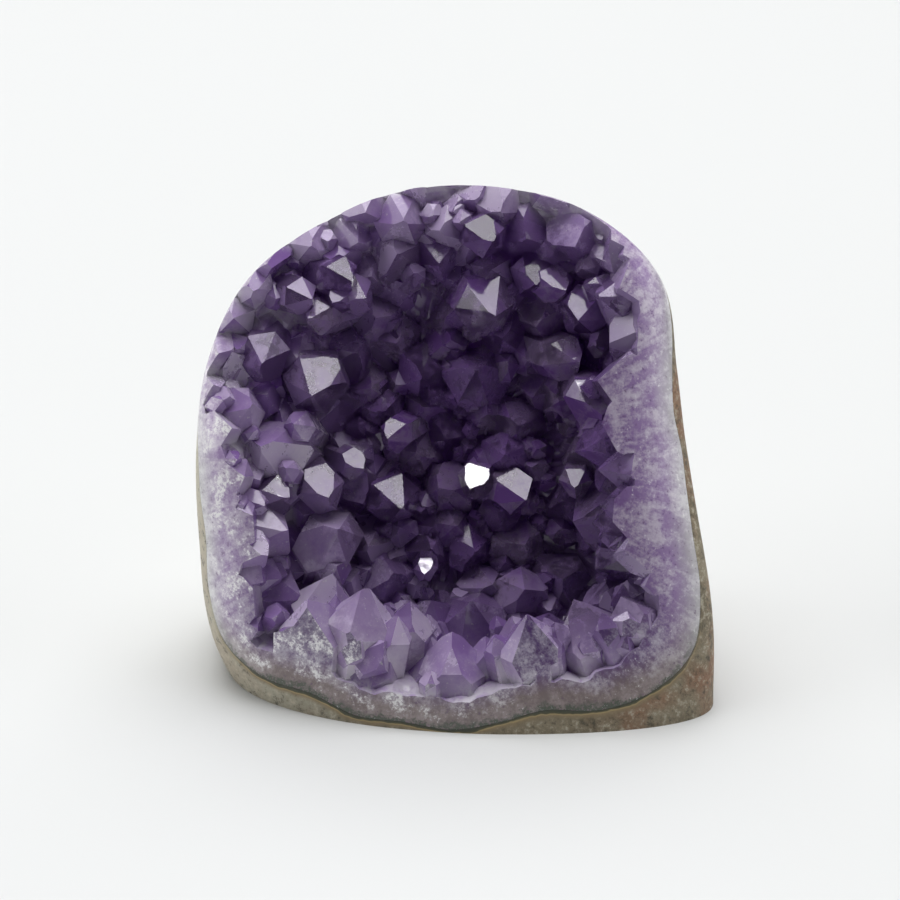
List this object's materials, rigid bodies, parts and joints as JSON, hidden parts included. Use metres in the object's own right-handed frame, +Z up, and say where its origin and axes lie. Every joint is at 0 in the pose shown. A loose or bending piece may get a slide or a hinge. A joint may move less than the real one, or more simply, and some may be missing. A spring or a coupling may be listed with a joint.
{
  "type": "amethyst cluster",
  "caption": "Free-standing cut-base amethyst cluster: a leaning slab of geode wall with a hollow of purple quartz points, polished edges and a rock foot and back.",
  "frame": {"origin": "on the surface it stands on, under the middle of the bounding box", "axes": "+Z up, the crystal face looks towards -Y and leans back, +X to the right as seen from the front"},
  "size_m": [0.1007, 0.0658, 0.0919],
  "materials": {
    "host_rock": "greenish-brown basalt, smooth where it was ground and raw on the back",
    "amethyst": "clear to milky purple quartz with flat bright faces, paler towards the rock and polished at the edges"
  },
  "bodies": {
    "root": {"stone_matrix": "host_rock", "amethyst_crust": "amethyst"}
  },
  "joints": []
}
